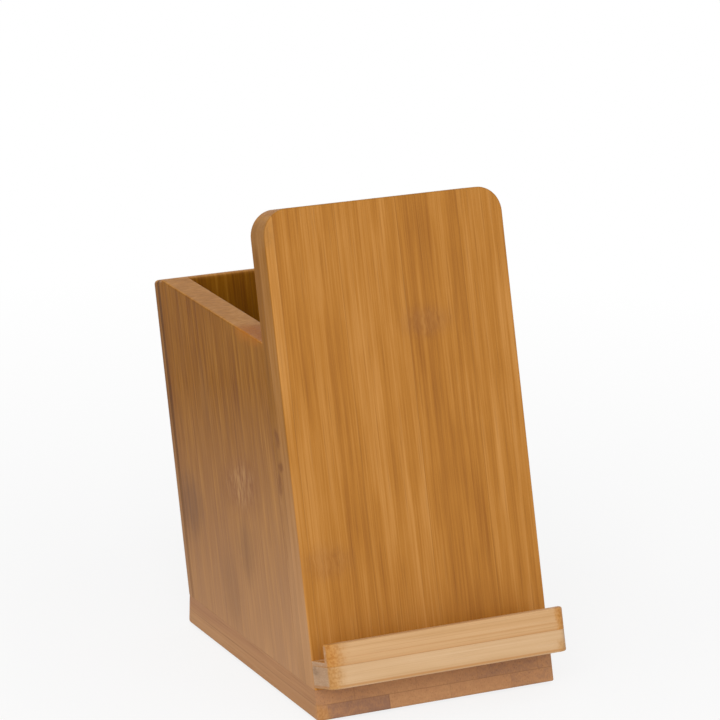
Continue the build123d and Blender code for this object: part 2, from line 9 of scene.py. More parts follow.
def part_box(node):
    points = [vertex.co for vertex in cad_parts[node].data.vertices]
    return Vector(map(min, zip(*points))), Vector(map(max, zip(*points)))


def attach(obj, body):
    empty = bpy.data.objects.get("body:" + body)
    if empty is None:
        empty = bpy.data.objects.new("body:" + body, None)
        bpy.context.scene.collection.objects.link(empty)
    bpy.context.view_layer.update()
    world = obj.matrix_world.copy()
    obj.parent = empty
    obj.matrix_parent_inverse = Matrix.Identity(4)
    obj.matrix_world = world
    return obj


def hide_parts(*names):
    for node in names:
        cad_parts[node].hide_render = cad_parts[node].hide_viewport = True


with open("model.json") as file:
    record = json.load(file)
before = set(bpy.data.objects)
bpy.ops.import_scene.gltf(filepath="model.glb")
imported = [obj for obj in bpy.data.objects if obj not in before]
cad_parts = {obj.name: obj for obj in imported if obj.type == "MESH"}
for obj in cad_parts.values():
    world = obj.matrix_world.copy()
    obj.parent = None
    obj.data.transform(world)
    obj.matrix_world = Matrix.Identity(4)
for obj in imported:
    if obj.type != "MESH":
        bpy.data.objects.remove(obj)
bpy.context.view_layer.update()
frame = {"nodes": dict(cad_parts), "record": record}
nodes = frame["nodes"]
mm = 0.001
weld = mm / 1000                                   # corners nearer than this become one
print("frame loaded:", len(nodes), "nodes")

# The charging face leans back, and its normal gives the directions of the leaning boards
chargingFace = next(m for m in frame["record"]["mounts"] if m["name"] == "charging_face")
outAxis = Vector(chargingFace["axis"])             # square to the panel, towards the user
leanAxis = Vector((0, outAxis.z, -outAxis.y))      # up along the panel
acrossAxis = Vector((1, 0, 0))
depthAxis = Vector((0, 1, 0))
upAxis = Vector((0, 0, 1))
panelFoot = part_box("front_panel")[0]
heel = Vector((0, panelFoot.y, panelFoot.z))       # where the panel's face meets the base


# Small helpers

def linear(hexColour):  # sRGB hex to the linear colour that a socket takes
    parts = [int(hexColour[place:place + 2], 16) / 255 for place in (1, 3, 5)]
    return [c / 12.92 if c <= 0.04045 else ((c + 0.055) / 1.055) ** 2.4 for c in parts] + [1]


# Adds one node, with its settings, its values and its links, and gives back an output
def wire(tree, kind, inputs=(), out=0, stops=(), **settings):
    if not kind.startswith(("Geometry", "Function", "Node")):
        kind = "ShaderNode" + kind
    node = tree.nodes.new(kind)
    for name, value in settings.items():
        setattr(node, name, value)
    for key, value in inputs.items() if isinstance(inputs, dict) else enumerate(inputs):
        if isinstance(value, bpy.types.NodeSocket):
            tree.links.new(value, node.inputs[key])
        elif value is not None:
            node.inputs[key].default_value = value
    if stops:
        elements = node.color_ramp.elements
        while len(elements) < len(stops):
            elements.new(1)
        for element, (place, tone) in zip(elements, stops):
            element.position = place
            element.color = linear(tone) if isinstance(tone, str) else (tone, tone, tone, 1)
    return node.outputs[out]


def calc(tree, operation, *values):  # a sum on numbers
    return wire(tree, "Math", values, operation=operation)


def vector(tree, operation, *values):  # a sum on places
    return wire(tree, "VectorMath", values, operation=operation)


def measure(tree, operation, *values):  # a number from places
    return wire(tree, "VectorMath", values, "Value", operation=operation)


def spread(tree, value, *span):  # from one range of values to another, as a straight line
    return wire(tree, "MapRange", [value, *span])


def smooth(tree, value, span, most=1):  # rises softly from 0 to the most along the span
    return wire(tree, "MapRange", [value, *span, 0, most], interpolation_type="SMOOTHSTEP")


def blend(tree, amount, under, over):  # two colours
    return wire(tree, "Mix", {0: amount, 6: under, 7: over}, 2, data_type="RGBA")


def noise(tree, place, scale, detail, out=0):
    return wire(tree, "TexNoise", {"Vector": place, "Scale": scale, "Detail": detail}, out)


def inCells(tree, size):  # a piece's own coordinates, in cells of this many mm
    return wire(tree, "VectorMath", {0: wire(tree, "TexCoord", out="Object"),
                                     "Scale": 1 / (size * mm)}, operation="SCALE")


def addRelief(tree, shader, strength, depth, height):
    bump = wire(tree, "Bump", {"Strength": strength, "Distance": depth * mm, "Height": height})
    tree.links.new(bump, shader.inputs["Normal"])


# A material with nothing in it but its shader, whose even values are set on its own sockets
def freshMaterial(name, evenValues):
    material = bpy.data.materials.new(name)
    material.use_nodes = True
    tree = material.node_tree
    shader = next(n for n in tree.nodes if n.type == "BSDF_PRINCIPLED")
    for socket, value in evenValues.items():
        shader.inputs[socket].default_value = value
    return material, tree, shader


def added(name, data):  # a new object in the scene
    newObject = bpy.data.objects.new(name, data)
    bpy.context.scene.collection.objects.link(newObject)
    return newObject


def weldedShape(node):  # the CAD mesh of a node, with its corners joined
    shape = bmesh.new()
    shape.from_mesh(nodes[node].data)
    bmesh.ops.remove_doubles(shape, verts=shape.verts, dist=weld)
    return shape


def plainMesh(worked, name):  # the evaluated mesh, with no modifier left on it
    bpy.context.view_layer.update()
    evaluated = worked.evaluated_get(bpy.context.evaluated_depsgraph_get())
    mesh = bpy.data.meshes.new_from_object(evaluated)
    mesh.name = name
    piece = added(name, mesh)
    bpy.data.objects.remove(worked)
    return piece


def standFor(piece, node):  # a finished piece takes the place of its CAD node
    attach(piece, "root")
    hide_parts(node)


# Bamboo

# Directions of the grain: across the strips, through their thickness, along the fibres
grainRuns = {
    "upright": (acrossAxis, outAxis, leanAxis),    # panel, back wall and coil cover
    "side": (outAxis, acrossAxis, leanAxis),       # side walls
    "depth": (acrossAxis, upAxis, depthAxis),      # base
    "ledge": (outAxis, leanAxis, acrossAxis),      # both plies of the ledge
}

# Sizes of the pattern in mm, the same in every board
grain = {
    "cloud": (12, 9, 36),        # slow changes of tone: across, through, along
    "bundle": (0.9, 0.9, 26),    # vascular bundles: dashes on a face, dots on an end
    "fleck": (1.1, 1.1, 4.4),    # light flecks inside a knuckle
    "dot": 0.75,                 # dots where lacquer soaks in, coarser than real to show
    "glueLine": 0.16,            # half the width of the line between strips
    "courseLine": 0.208,         # and between courses
    "wander": 3.2,               # how far the edge of a mark wanders
    "wave": 2.5,                 # length of that wandering
    "parting": 3.0,              # how far the fibres part round a knuckle
    "jump": (211, 173, 457),     # range in which each strip finds its piece of the pattern
    "relief": 0.03,              # depth of the open fibres under the lacquer
}

# Where a pattern starts and where it is full
starts = {
    "edgeGrain": (0.8, 0.5),     # share of the surface's normal through the board
    "endGrain": (0.35, 0.8),     # and along the fibres
    "plainEnd": (0.93, 0.99),    # the same, where a stain stops on an end
    "patch": (1.2, 0.3),         # distance from the middle of a mark, in its half sizes
    "bundle": (0.34, 0.1),       # distance from the middle of a bundle, in its cells
}

# How much of each mark shows. Four numbers are two levels of the noise in it and the share
# at each.
shares = {
    "glue": 0.3,
    "courseGlue": 0.35,
    "seamFade": 1.8,             # how much of a seam the painted floor reflection takes away
    "seam": (0.3, 0.7, 1.15, 0.8),
    "smear": (0.3, 0.7, 0.6, 0.35),
    "knuckle": (0.3, 0.65, 0.24, 0.46),
    "fleck": (0.6, 0.34, 0, 0.42),
    "stain": 0.92,
    "stainDots": (0.42, 0.62, 0, 0.6),
    "roughness": (0.2, 0.8, 0.56, 0.42),
    "relief": 0.6,
    "endRelief": 0.3,            # sanded ends are smoother
    "corePower": 3,              # gathers the light flecks in the middle of a knuckle
}
# The pale tone that blends in low on the upright boards is a painted reflection of the white
# floor
markTones = {
    "bundle": "#6e4420", "paintedSheen": "#cba07b", "glue": "#6a4526", "seam": "#4f2800",
    "smear": "#73563c", "knuckle": "#7d4d33", "fleck": "#c79a66"}

# Satin lacquer: a thin soft coat over fibres that shine a little
lacquer = {"IOR": 1.45, "Specular IOR Level": 0.1, "Coat Weight": 0.04, "Coat Roughness": 0.3}

# Tones from dark to light
wallFace = ("#723f02", "#8b5606", "#a56e1e")
wallEdge = ("#6c3a00", "#864f00", "#a06914")
wallEnd = ("#a16a2e", "#b67d3b", "#c7904d")
shelfFace = ("#be9567", "#cfa97e", "#dcba93")
lipFace = ("#bb8e5a", "#cda273", "#dbb487")
paleEnd = ("#a17c58", "#b39070", "#c6a584")

# Painted reflection of the white floor, a pale veil low on the upright boards: the levels along
# the fibres between which it grows, its strength, and its share on the board's face
wallPaintedSheen = {"from": 92, "to": 0, "amount": 0.55, "face": 1}
noPaintedSheen = {"from": 1, "to": 0, "amount": 0, "face": 1}

# What several boards share: the width of a strip, the sizes of the streaks and of the fibres
# in mm, and the contrast of the clouds, streaks, fibres and bundles
wallPattern = {
    "strip": 20.5, "paintedSheen": wallPaintedSheen, "streak": (1.45, 5, 40), "fibre": (0.55, 2, 15),
    "contrast": (0.7, 1.15, 1, 0.14), "face": wallFace, "edge": wallEdge, "end": wallEnd}
sidePattern = {**wallPattern, "run": "side", "seams": [(0, -79.75, 0.8, 1), (0, -9.5, 0.9, 0.2)]}
# The ledge's seam tone colours the lip's glue lines and the band low on the shelf, which is
# partly painted shade
ledgePattern = {
    "run": "ledge", "strip": 30, "streak": (3, 1, 150), "fibre": (1.2, 0.3, 60),
    "end": paleEnd, "courses": [(-100, -9, (0.5, 0.5))], "seamTone": "#b0702c"}

# Each board: its tones, the strips of each course and its marks, in mm from the heel line.
# A course is (lowest level through the board, where its first strip starts, strip tones),
# a seam is (0 for across or 1 for through the board, its level, half its width, its strength
# and, where it starts only at some distance across from the middle, that distance), and a
# knuckle, smear or stain is (across, through, along, its half size in each, its strength).
boards = {
    "leftWall": {
        **sidePattern, "seed": 3,
        "courses": [(-100, -107.6, (0.5, 0.46, 0.46, 0.54, 0.54, 0.38))],
        "knuckles": [(-35.4, -40, 60.3, 14.5, 8, 10.5, 1)],
        "smears": [(-74, -40, 54, 9.5, 8, 12, 1), (-75, -40, 51.5, 5, 8, 5, 1),
                   (-37, -40, 40.5, 6.5, 8, 12, 0.7), (-50.5, -40, 27.5, 7, 8, 14, 0.45),
                   (-55, -40, 88, 4, 8, 14, 0.35)],
        "smearTone": "#6b4a35",
        "stains": [(-14, -35.5, 105.7, 9, 7, 4.5, 1), (-20, -36.5, 107.5, 9, 7, 4.5, 1)],
        "stainTones": ("#b0680c", "#a05b0a"), "stainEnds": 1},
    "rightWall": {
        **sidePattern, "seed": 8,
        "courses": [(-100, -99, (0.45, 0.58, 0.42, 0.55, 0.5))],
        "knuckles": [(-27, 40, 72, 10, 8, 8, 0.9), (-66, 40, 34, 10, 8, 8.5, 0.8)]},
    "panel": {
        "run": "upright", "seed": 5, "strip": 20.5,
        # A painted reflection of the white floor pales the lower part of the panel's edges
        "paintedSheen": {"from": 84, "to": 20, "amount": 0.46, "face": 0},
        "streak": (2.6, 3, 110), "fibre": (0.5, 1.4, 30), "contrast": (0.75, 1.15, 0.8, 0.16),
        "face": ("#935a20", "#b0742d", "#c68b47"), "edge": ("#6d3f00", "#8e5a10", "#ab7638"),
        "end": ("#9b6120", "#ae752d", "#c0873c"),
        "courses": [(-100, -57.6, (0.5, 0.4, 0.3, 0.45, 0.35, 0.42)),
                    (-5.6, -57.4, (0.7, 0.5, 0.6, 0.45, 0.55, 0.64))],
        "knuckles": [(10, 0, 104, 10, 3, 6, 0.6), (-31, 0, 37, 10, 3, 6.5, 0.5)],
        "smears": [(-40, -6.6, 75, 4, 1.7, 3.3, 1), (-40, -6.3, 66.4, 4, 1.7, 2, 0.9),
                   (-40, -8.4, 61, 4, 1.6, 5, 0.85), (-40, -9.3, 48, 4, 0.9, 14, 0.4)],
        "smearTone": "#561f0a",
        "stains": [(-40, -5, 136, 4, 8, 7, 0.6)], "stainTones": ("#9f7039", "#946430")},
    "backWall": {
        **wallPattern, "run": "upright", "seed": 11,
        "edge": ("#6c3e0e", "#835217", "#9b692c"),
        "courses": [(-200, -51, (0.5, 0.42, 0.56, 0.48, 0.6))],
        "seams": [(1, -80.37, 1, 1, 38.3)],
        "knuckles": [(-20, -88, 88, 10, 8, 7, 0.9), (21, -88, 54, 10, 8, 8, 0.8)]},
    "base": {
        "run": "depth", "seed": 7, "strip": 20.8,
        "streak": (2.6, 1.4, 120), "fibre": (0.45, 0.7, 38), "contrast": (0.6, 0.7, 0.7, 0.2),
        "face": ("#8f6439", "#ab7d50", "#c0956a"), "edge": ("#9d6d4c", "#ad7e55", "#ba8d60"),
        "end": ("#966f57", "#b5845b", "#c49365"),
        "courses": [(-100, -57.6, (0.6, 0.08, 0.66, 0.62, 0.36)),
                    (-4.5, -48.1, (0.4, 0.52, 0.5, 0.32, 0.42))],
        "stains": [(-38.6, -6.8, -3, 3.8, 3.4, 3, 1)],
        "stainTones": ("#bd8954", "#a8713e"), "stainEnds": 1},
    "shelf": {
        **ledgePattern, "seed": 13, "contrast": (0.45, 0.7, 0.8, 0.05),
        "face": shelfFace, "edge": shelfFace,
        # The two seams low on the shelf paint an orange band along its lower edge: partly a
        # stain, partly painted shade of its rounded lower arris
        "seams": [(1, 1.4, 0.6, 0.55), (1, 0.3, 0.5, 0.3)],
        "smears": [(2.5, 5.6, -40, 3.6, 1.5, 2, 0.9)],
        "stains": [(9, 3.5, -40.6, 9, 9, 5.8, 1), (9, 2.2, 38, 9, 3, 2.4, 0.6)],
        "stainTones": ("#bf8d52", "#a8733a")},
    "lip": {
        **ledgePattern, "seed": 17, "contrast": (0.5, 0.8, 0.95, 0.06),
        "face": lipFace, "edge": lipFace,
        "seams": [(1, 7.6, 1.1, 0.26), (1, 9.6, 0.5, 0.14), (1, 11, 0.4, 0.1)],
        "smears": [(9.6, 11.8, -40.3, 2.6, 4.6, 1.3, 1)], "smearTone": "#b4742c",
        "stains": [(9, 10.5, -40.6, 9, 9, 6.8, 1), (9, 10.5, 38.2, 9, 9, 2.2, 0.9)],
        "stainTones": ("#c1863f", "#a9692b")},
    "coverBoard": {
        **wallPattern, "run": "upright", "seed": 23,
        "face": ("#835224", "#9a672f", "#b07e44"), "edge": wallFace,
        "courses": [(-100, -51, (0.52, 0.4, 0.55, 0.46, 0.5))],
        "knuckles": [(-18, -9.5, 30, 9, 4, 7, 0.8), (16, -9.5, 84, 9, 4, 7, 0.8)]},
}


# Ellipsoids with a wandering edge, as a mask from 0 to 1
def patchMask(tree, wandering, patches):
    mask = 0.0
    for patch in patches:
        middle, size, strength = Vector(patch[:3]), Vector(patch[3:6]), patch[6]
        offset = vector(tree, "DIVIDE", vector(tree, "SUBTRACT", wandering, middle), size)
        reach = measure(tree, "LENGTH", offset)
        mask = calc(tree, "MAXIMUM", smooth(tree, reach, starts["patch"], strength), mask)
    return mask


def varied(tree, mark, mask, pattern):  # a mark whose strength follows a noise
    return calc(tree, "MULTIPLY", mask, spread(tree, pattern, *shares[mark]))


# Laminated bamboo under satin lacquer: straight strips glued side by side, each with its own
# tone, long fibres, knuckles where the cane had its rings, and dark dots on the ends
def bambooMaterial(name, board):
    material, tree, shader = freshMaterial(name, lacquer)
    axes = grainRuns[board["run"]]
    place = vector(tree, "SUBTRACT", wire(tree, "TexCoord", out="Object"), heel)
    facing = wire(tree, "TexCoord", out="Normal")
    measures = [measure(tree, "DOT_PRODUCT", place, axis / mm) for axis in axes]
    turns = [calc(tree, "ABSOLUTE", measure(tree, "DOT_PRODUCT", facing, axis))
             for axis in axes]
    across, through, along = measures
    spot = wire(tree, "CombineXYZ", measures)
    onEdge = smooth(tree, turns[1], starts["edgeGrain"])
    onEnd = smooth(tree, turns[2], starts["endGrain"])

    # Which course and which strip
    courses = board["courses"]
    level = courses[-1][0]
    course = calc(tree, "GREATER_THAN", through, level)
    start = calc(tree, "MULTIPLY_ADD", course, courses[-1][1] - courses[0][1], courses[0][1])
    stripPlace = calc(tree, "DIVIDE", calc(tree, "SUBTRACT", across, start), board["strip"])
    strip = calc(tree, "FLOOR", stripPlace)
    tones = []
    for _, _, stripTones in (courses[0], courses[-1]):
        count = len(stripTones)
        stops = [(number / count, tone) for number, tone in enumerate(stripTones)]
        ramp = wire(tree, "ValToRGB", [calc(tree, "DIVIDE", stripPlace, count)], stops=stops)
        ramp.node.color_ramp.interpolation = "CONSTANT"
        tones.append(ramp)
    shade = blend(tree, course, *tones)
    chance = wire(tree, "TexWhiteNoise",
                  [wire(tree, "CombineXYZ", [strip, course, board["seed"]])], "Color")

    # Marks whose edge wanders
    wander = vector(tree, "SUBTRACT", noise(tree, spot, 1 / grain["wave"], 2, 1),
                    (0.5, 0.5, 0.5))
    wandering = vector(tree, "MULTIPLY_ADD", wander, (grain["wander"],) * 3, spot)
    knuckle = patchMask(tree, wandering, board.get("knuckles", []))
    smear = patchMask(tree, wandering, board.get("smears", []))

    # The fibres part round a knuckle, and each strip shows another piece of the pattern
    bend = calc(tree, "MULTIPLY", knuckle, grain["parting"])
    bent = wire(tree, "VectorMath", {0: wander, "Scale": bend}, operation="SCALE")
    bent = vector(tree, "ADD", spot, bent)
    ownPlace = vector(tree, "MULTIPLY_ADD", chance, grain["jump"], bent)
    sizes = {"cloud": grain["cloud"], "streak": board["streak"], "fibre": board["fibre"]}
    layers = {layer: noise(tree, vector(tree, "DIVIDE", ownPlace, size), 1, 3)
              for layer, size in sizes.items()}
    bundle = wire(tree, "TexVoronoi", {
        "Vector": vector(tree, "DIVIDE", ownPlace, grain["bundle"]), "Scale": 1}, "Distance")
    bundle = smooth(tree, bundle, starts["bundle"])

    # Tone, then colour
    for layer, strength in zip(sizes, board["contrast"]):
        part = calc(tree, "MULTIPLY_ADD", layers[layer], strength, -strength / 2)
        shade = calc(tree, "ADD", shade, part)
    face, edge, end = (
        wire(tree, "ValToRGB", [shade], stops=list(zip((0, 0.5, 1), board[side])))
        for side in ("face", "edge", "end"))
    colour = blend(tree, onEnd, blend(tree, onEdge, face, edge), end)

    # Painted reflection of the white floor: the lower part of each upright strip is paler
    paintedSheen = board.get("paintedSheen", noPaintedSheen)
    paintedSheenMask = spread(tree, along, paintedSheen["from"], paintedSheen["to"], 0, paintedSheen["amount"])
    paintedSheenMask = calc(tree, "MULTIPLY", paintedSheenMask, spread(tree, onEdge, 0, 1, paintedSheen["face"], 1))

    # Dark lines of glue between strips and between courses
    fromMiddle = calc(tree, "SUBTRACT", calc(tree, "FRACT", stripPlace), 0.5)
    glue = spread(tree, calc(tree, "ABSOLUTE", fromMiddle),
                  0.5 - grain["glueLine"] / board["strip"], 0.5, 0, shares["glue"])
    if len(courses) > 1:
        fromLevel = calc(tree, "ABSOLUTE", calc(tree, "SUBTRACT", through, level))
        between = spread(tree, fromLevel, grain["courseLine"], 0, 0, shares["courseGlue"])
        glue = calc(tree, "MAXIMUM", glue, between)

    seam = 0.0
    for number, seamLevel, halfWidth, strength, *apart in board.get("seams", []):
        off = calc(tree, "ABSOLUTE", calc(tree, "SUBTRACT", measures[number], seamLevel))
        near = smooth(tree, off, (halfWidth, 0), strength)
        for distance in apart:
            far = calc(tree, "GREATER_THAN", calc(tree, "ABSOLUTE", across), distance)
            near = calc(tree, "MULTIPLY", near, far)
        seam = calc(tree, "MAXIMUM", near, seam)
    # Under the painted floor reflection the seams fade too
    faded = calc(tree, "MULTIPLY_ADD", paintedSheenMask, -shares["seamFade"], 1)
    seam = calc(tree, "MULTIPLY", seam, faded)

    fleck = noise(tree, vector(tree, "DIVIDE", spot, grain["fleck"]), 1, 2)
    core = calc(tree, "POWER", knuckle, shares["corePower"])
    streak = layers["streak"]
    marks = [
        (calc(tree, "MULTIPLY", bundle, board["contrast"][3]), markTones["bundle"]),
        # painted reflection of the white floor
        (paintedSheenMask, markTones["paintedSheen"]),
        (glue, markTones["glue"]),
        (varied(tree, "seam", seam, streak), board.get("seamTone", markTones["seam"])),
        (varied(tree, "smear", smear, streak), board.get("smearTone", markTones["smear"])),
        (varied(tree, "knuckle", knuckle, fleck), markTones["knuckle"]),
        (varied(tree, "fleck", core, fleck), markTones["fleck"]),
    ]
    if "stains" in board:
        stain = patchMask(tree, wandering, board["stains"])
        onPlainEnd = spread(tree, turns[2], *starts["plainEnd"], 1, board.get("stainEnds", 0))
        stain = calc(tree, "MULTIPLY", stain, onPlainEnd)
        dot = noise(tree, spot, 1 / grain["dot"], 1)
        soaked, dotted = board["stainTones"]
        marks += [(calc(tree, "MULTIPLY", stain, shares["stain"]), soaked),
                  (varied(tree, "stainDots", stain, dot), dotted)]
    for amount, markTone in marks:
        colour = blend(tree, amount, colour, linear(markTone))
    tree.links.new(colour, shader.inputs["Base Color"])
    tree.links.new(spread(tree, layers["fibre"], *shares["roughness"]),
                   shader.inputs["Roughness"])
    low = calc(tree, "MAXIMUM", bundle, glue)
    height = calc(tree, "SUBTRACT", layers["fibre"], low)
    height = calc(tree, "MULTIPLY", height, spread(tree, onEnd, 0, 1, 1, shares["endRelief"]))
    addRelief(tree, shader, shares["relief"], grain["relief"], height)
    return material


bamboo = {name: bambooMaterial("lacqueredBamboo_" + name, board)
          for name, board in boards.items()}
print("bamboo mixed:", len(bamboo), "boards")


# Boards: the CAD mesh with its triangles joined into faces and a hairline at each sharp edge

sanding = {"hairline": 0.1, "steps": 2,                           # mm
           "sharpFrom": 60, "smoothBelow": 40, "flatBelow": 0.5}  # degrees
boardNodes = {
    "base_board": "base", "front_panel": "panel", "left_side_wall": "leftWall",
    "right_side_wall": "rightWall", "back_wall": "backWall", "ledge_shelf": "shelf",
    "ledge_lip": "lip", "coil_cover": "coverBoard",
}

for node, board in boardNodes.items():
    shape = weldedShape(node)
    bmesh.ops.dissolve_limit(shape, angle_limit=math.radians(sanding["flatBelow"]),
                             verts=shape.verts, edges=shape.edges, use_dissolve_boundaries=False)
    mesh = bpy.data.meshes.new(node)
    shape.to_mesh(mesh)
    shape.free()
    mesh.shade_smooth()
    mesh.set_sharp_from_angle(angle=math.radians(sanding["smoothBelow"]))
    rough = added(node + "Rough", mesh)
    bevel = rough.modifiers.new("hairline", "BEVEL")
    bevel.width = sanding["hairline"] * mm
    bevel.segments = sanding["steps"]
    bevel.limit_method = "ANGLE"
    bevel.angle_limit = math.radians(sanding["sharpFrom"])
    rough.modifiers.new("flatFaces", "WEIGHTED_NORMAL").keep_sharp = True
    piece = plainMesh(rough, node + "_sanded")
    piece.data.materials.clear()
    piece.data.materials.append(bamboo[board])
    standFor(piece, node)
print("boards sanded:", len(boardNodes))


# Finishes of the small parts: two tones, the size of their grain in mm, and their relief

smallFinishes = {
    # enamelled copper wire, amber enamel over bright copper: warm, glossy
    "enamelledCopper": {
        "tones": ("#9c4f28", "#c07040"), "grain": 0.5, "relief": 0.002, "rough": (0.25, 0.35),
        "even": {"Metallic": 1, "Coat Weight": 0.7, "Coat Roughness": 0.1},
        "nodes": ("coil_leads",)},
    # sintered ferrite: dark grey, dull, with fine pits
    "sinteredFerrite": {
        "tones": ("#242426", "#3a3a3d"), "grain": 0.35, "relief": 0.02, "rough": (0.6, 0.8),
        "even": {"IOR": 1.8}, "nodes": ("ferrite_disc",)},
    # moulded nylon: milky white, faint mould grain
    "mouldedNylon": {
        "tones": ("#cfcdc4", "#dcdad2"), "grain": 0.6, "relief": 0.01, "rough": (0.45, 0.55),
        "even": {"IOR": 1.53}, "nodes": ("coil_carrier",)},
    # cut foam: dark, open cells that swallow the light
    "cutFoam": {
        "tones": ("#1d1d1f", "#3c3c40"), "grain": 0.5, "relief": 0.2, "rough": (0.9, 1),
        "even": {"IOR": 1.45}, "nodes": ("foam_pad",)},
    # zinc-plated steel: cool grey metal with cloudy patches
    "zincPlatedSteel": {
        "tones": ("#9c9fa4", "#c2c5c9"), "grain": 0.5, "relief": 0.004, "rough": (0.28, 0.42),
        "even": {"Metallic": 1}, "nodes": ("socket_shell",)},
    # spark-grained ABS: black, matt, an even fine sparkle
    "sparkGrainedAbs": {
        "tones": ("#151516", "#222224"), "grain": 0.28, "relief": 0.02, "rough": (0.5, 0.65),
        "even": {"IOR": 1.54}, "nodes": ("base_cover",)},
    # moulded epoxy: nearly black, dull
    "mouldedEpoxy": {
        "tones": ("#18181a", "#262628"), "grain": 0.2, "relief": 0.006, "rough": (0.55, 0.7),
        "even": {"IOR": 1.55},
        "nodes": ("controller_chip", "bridge_chips", "power_inductor", "resistors")},
    # fired ceramic: sandy brown, silky
    "firedCeramic": {
        "tones": ("#8d7052", "#a88a69"), "grain": 0.25, "relief": 0.005, "rough": (0.35, 0.5),
        "even": {"IOR": 1.65}, "nodes": ("resonant_capacitors",)},
    # moulded socket plastic: black, slightly glossy
    "socketPlastic": {
        "tones": ("#121213", "#1d1d1f"), "grain": 0.2, "relief": 0.004, "rough": (0.35, 0.45),
        "even": {"IOR": 1.54}, "nodes": ("socket_insulator",)},
    # gold plating: yellow metal, bright
    "goldPlating": {
        "tones": ("#c99a3f", "#e0b85c"), "grain": 0.1, "relief": 0.001, "rough": (0.2, 0.3),
        "even": {"Metallic": 1}, "nodes": ("socket_contacts",)},
    # silicone rubber: dark grey, soft sheen
    "siliconeRubber": {
        "tones": ("#2b2b2d", "#39393b"), "grain": 0.35, "relief": 0.01, "rough": (0.6, 0.75),
        "even": {"IOR": 1.41, "Sheen Weight": 0.1}, "nodes": ()},
    # turned beech: pale, with short darker flecks of the rays
    "turnedBeech": {
        "tones": ("#b08a5c", "#d0ae82"), "grain": 0.5, "relief": 0.03, "rough": (0.6, 0.75),
        "even": {"IOR": 1.5}, "nodes": ()},
}


# The cloudy noise against the fine one, the span of both together, and the relief's strength
smallPattern = {"cloudScale": 0.15, "toneSpan": (0.75, 1.25), "strength": 0.7}


def dress(names, material):  # a CAD node keeps its mesh and gets the material
    for name in names:
        for place in nodes[name].material_slots:
            place.material = material


def smallFinish(name, look):
    material, tree, shader = freshMaterial(name, look["even"])
    spot = inCells(tree, look["grain"])
    fine = noise(tree, spot, 1, 3)
    cloudy = noise(tree, spot, smallPattern["cloudScale"], 2)
    tone = spread(tree, calc(tree, "ADD", fine, cloudy), *smallPattern["toneSpan"], 0, 1)
    tree.links.new(wire(tree, "ValToRGB", [tone], stops=list(zip((0, 1), look["tones"]))),
                   shader.inputs["Base Color"])
    tree.links.new(spread(tree, tone, 0, 1, *look["rough"]), shader.inputs["Roughness"])
    addRelief(tree, shader, smallPattern["strength"], look["relief"], fine)
    dress(look["nodes"], material)
    return material


finishes = {name: smallFinish(name, look) for name, look in smallFinishes.items()}

# Glass-cloth laminate under green solder lacquer: glossy, with copper tracks showing paler.
# The cells, the weave and the relief are in mm, the track and the hole are shares of a cell.
boardLook = {"lacquer": "#0e4426", "track": "#2c7a48", "hole": "#b9b48a", "cell": 1.6,
             "trackWidth": 0.12, "holeSize": 0.13, "randomness": 0.7, "weave": 0.35,
             "relief": 0.02, "strength": 0.5}
solderLacquer, tree, shader = freshMaterial("solderLacquer", {
    "IOR": 1.55, "Roughness": 0.3, "Coat Weight": 0.4, "Coat Roughness": 0.15})
spot = inCells(tree, boardLook["cell"])
cell = {"Vector": spot, "Scale": 1, "Randomness": boardLook["randomness"]}
second = wire(tree, "TexVoronoi", cell, distance="CHEBYCHEV", feature="F2")
nearest = wire(tree, "TexVoronoi", cell, distance="CHEBYCHEV")
between = calc(tree, "SUBTRACT", second, nearest)
line = spread(tree, between, boardLook["trackWidth"], 0, 0, 1)
hole = calc(tree, "LESS_THAN", nearest, boardLook["holeSize"])
weave = wire(tree, "TexNoise", {"Vector": spot, "Scale": boardLook["cell"] / boardLook["weave"]})
colour = linear(boardLook["lacquer"])
for amount, tone in ((line, boardLook["track"]), (hole, boardLook["hole"])):
    colour = blend(tree, amount, colour, linear(tone))
tree.links.new(colour, shader.inputs["Base Color"])
addRelief(tree, shader, boardLook["strength"], boardLook["relief"],
          calc(tree, "ADD", line, weave))
dress(["driver_board"], solderLacquer)
print("small parts finished:", len(finishes) + 1, "finishes")


# Geometry trees for what repeats

# A tree with named inputs, which starts with the geometry that it is put on
def freshTree(name, labels):
    tree = bpy.data.node_groups.new(name, "GeometryNodeTree")
    tree.interface.new_socket("Geometry", in_out="INPUT", socket_type="NodeSocketGeometry")
    for label, kind in labels.items():
        tree.interface.new_socket(label, in_out="INPUT", socket_type="NodeSocket" + kind)
    tree.interface.new_socket("Geometry", in_out="OUTPUT", socket_type="NodeSocketGeometry")
    return tree, wire(tree, "NodeGroupInput").node.outputs


# Ends a tree: real copies, one material, one output
def closeTree(tree, shape, finish):
    real = wire(tree, "GeometryNodeRealizeInstances", {"Geometry": shape})
    done = wire(tree, "GeometryNodeSetMaterial", {"Geometry": real, "Material": finish})
    tree.links.new(done, tree.nodes.new("NodeGroupOutput").inputs[0])


# Runs a tree on some points or on a curve, and gives back a plain piece, smooth below an
# angle in degrees
def grow(name, data, tree, values, smoothBelow=38):
    worked = added(name + "Start", data)
    modifier = worked.modifiers.new(name, "NODES")
    modifier.node_group = tree
    for item in tree.interface.items_tree:
        if item.in_out == "INPUT" and item.name in values:
            modifier[item.identifier] = values[item.name]
    piece = plainMesh(worked, name)
    piece.data.shade_smooth()
    piece.data.set_sharp_from_angle(angle=math.radians(smoothBelow))
    return piece


